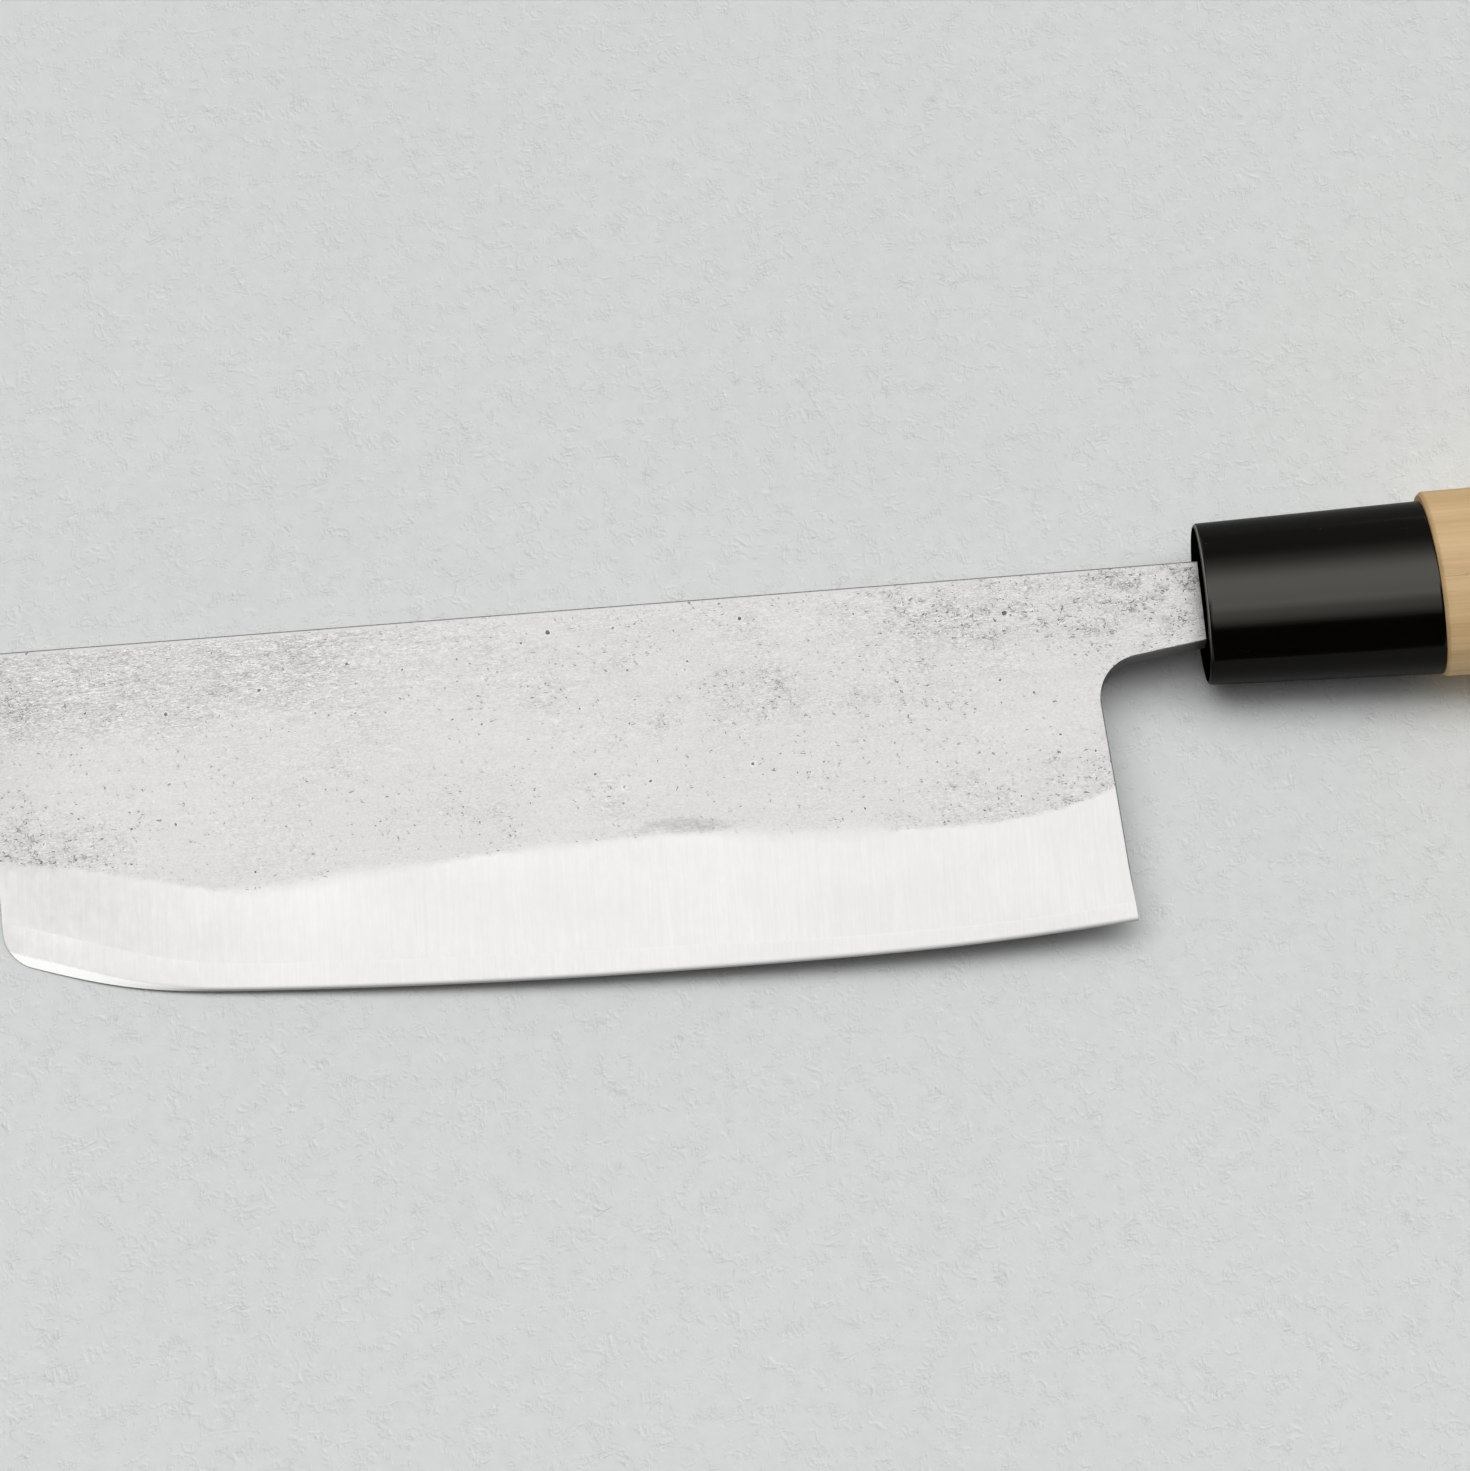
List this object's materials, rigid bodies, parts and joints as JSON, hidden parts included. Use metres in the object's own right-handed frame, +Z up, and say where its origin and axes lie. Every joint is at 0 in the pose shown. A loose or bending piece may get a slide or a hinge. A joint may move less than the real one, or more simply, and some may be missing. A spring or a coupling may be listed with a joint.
{
  "type": "nakiri knife",
  "caption": "Traditional vegetable knife lying on its side: a tall straight-edged blade of laminated steel, a glossy black oval ferrule and a plain oval wooden handle.",
  "frame": {"origin": "centre of the base of the bounding box, on the surface the knife lies on", "axes": "+X from the blade's front to the handle's butt, +Y from the cutting edge to the spine, +Z up, out of the blade's left side"},
  "size_m": [0.3084, 0.0646, 0.0255],
  "materials": {
    "core_steel": "finely ground",
    "cladding": "forged skin above, satin ground bevel below",
    "ferrule": "gloss",
    "handle_wood": "plain sanded"
  },
  "bodies": {
    "root": {"core_steel": "core_steel", "left_cladding": "cladding", "right_cladding": "cladding", "ferrule": "ferrule", "handle_body": "handle_wood"}
  },
  "joints": []
}
